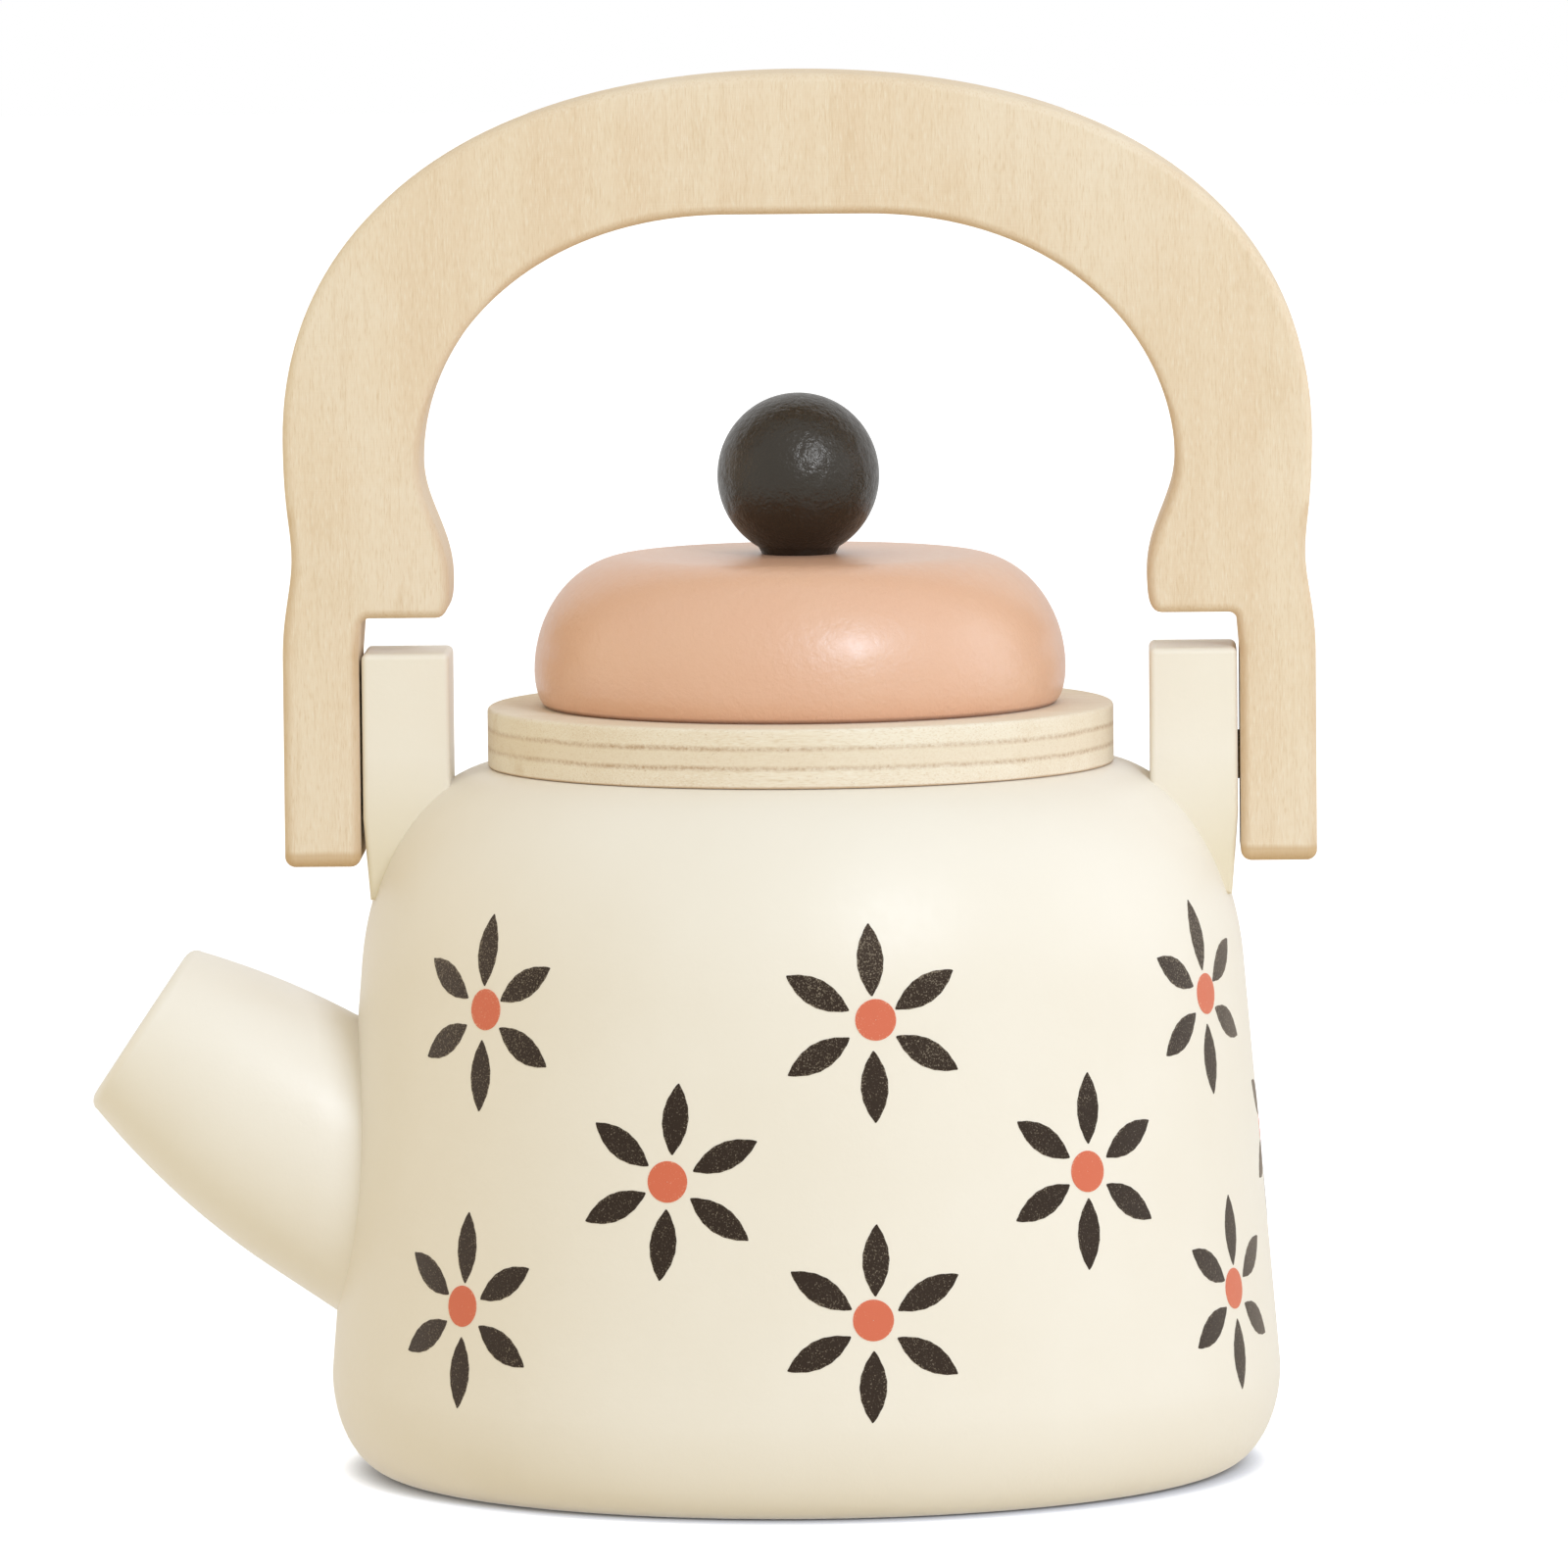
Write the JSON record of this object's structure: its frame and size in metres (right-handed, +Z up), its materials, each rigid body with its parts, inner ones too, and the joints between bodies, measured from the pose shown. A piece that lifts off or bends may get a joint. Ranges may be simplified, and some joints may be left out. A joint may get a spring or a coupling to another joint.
{
  "type": "toy teapot",
  "caption": "Wooden toy kettle with a hollow painted body, side spout, lift-off lid with a ball knob, plywood rim and a bow handle that swings on two posts.",
  "frame": {"origin": "on the axis of the turned body, at its flat base", "axes": "+Z up along the body's axis, the spout points to -X, the handle's plane is the XZ plane and it swings about an axis along X"},
  "size_m": [0.1504, 0.1164, 0.171],
  "materials": {
    "body_paint": "cream satin paint with a printed flower pattern",
    "spout_paint": "cream satin paint",
    "post_paint": "cream satin paint",
    "lid_paint": "dusty pink satin paint",
    "knob_paint": "charcoal satin paint",
    "handle_plywood": "birch plywood, sanded and lightly lacquered",
    "birch_plywood": "birch plywood, turned edge with its plies showing",
    "dowel_wood": "plain beech dowel"
  },
  "bodies": {
    "pot": {"body": "body_paint", "collar": "birch_plywood", "spout": "spout_paint", "spout_dowel": "dowel_wood", "post_left": "post_paint", "post_right": "post_paint", "post_dowel_left": "dowel_wood", "post_dowel_right": "dowel_wood"},
    "handle": {"handle": "handle_plywood", "pivot_pin_left": "dowel_wood", "pivot_pin_right": "dowel_wood"},
    "lid": {"lid": "lid_paint", "knob": "knob_paint", "knob_dowel": "dowel_wood"}
  },
  "joints": [
    {"name": "handle_swing", "type": "hinge", "parent": "pot", "child": "handle", "pos_m": [0, 0, 0.087], "axis": [1, 0, 0], "range_deg": [-84, 84]},
    {"name": "lid_lift", "type": "slide", "parent": "pot", "child": "lid", "axis": [0, 0, 1], "range_m": [0, 0.02]}
  ]
}
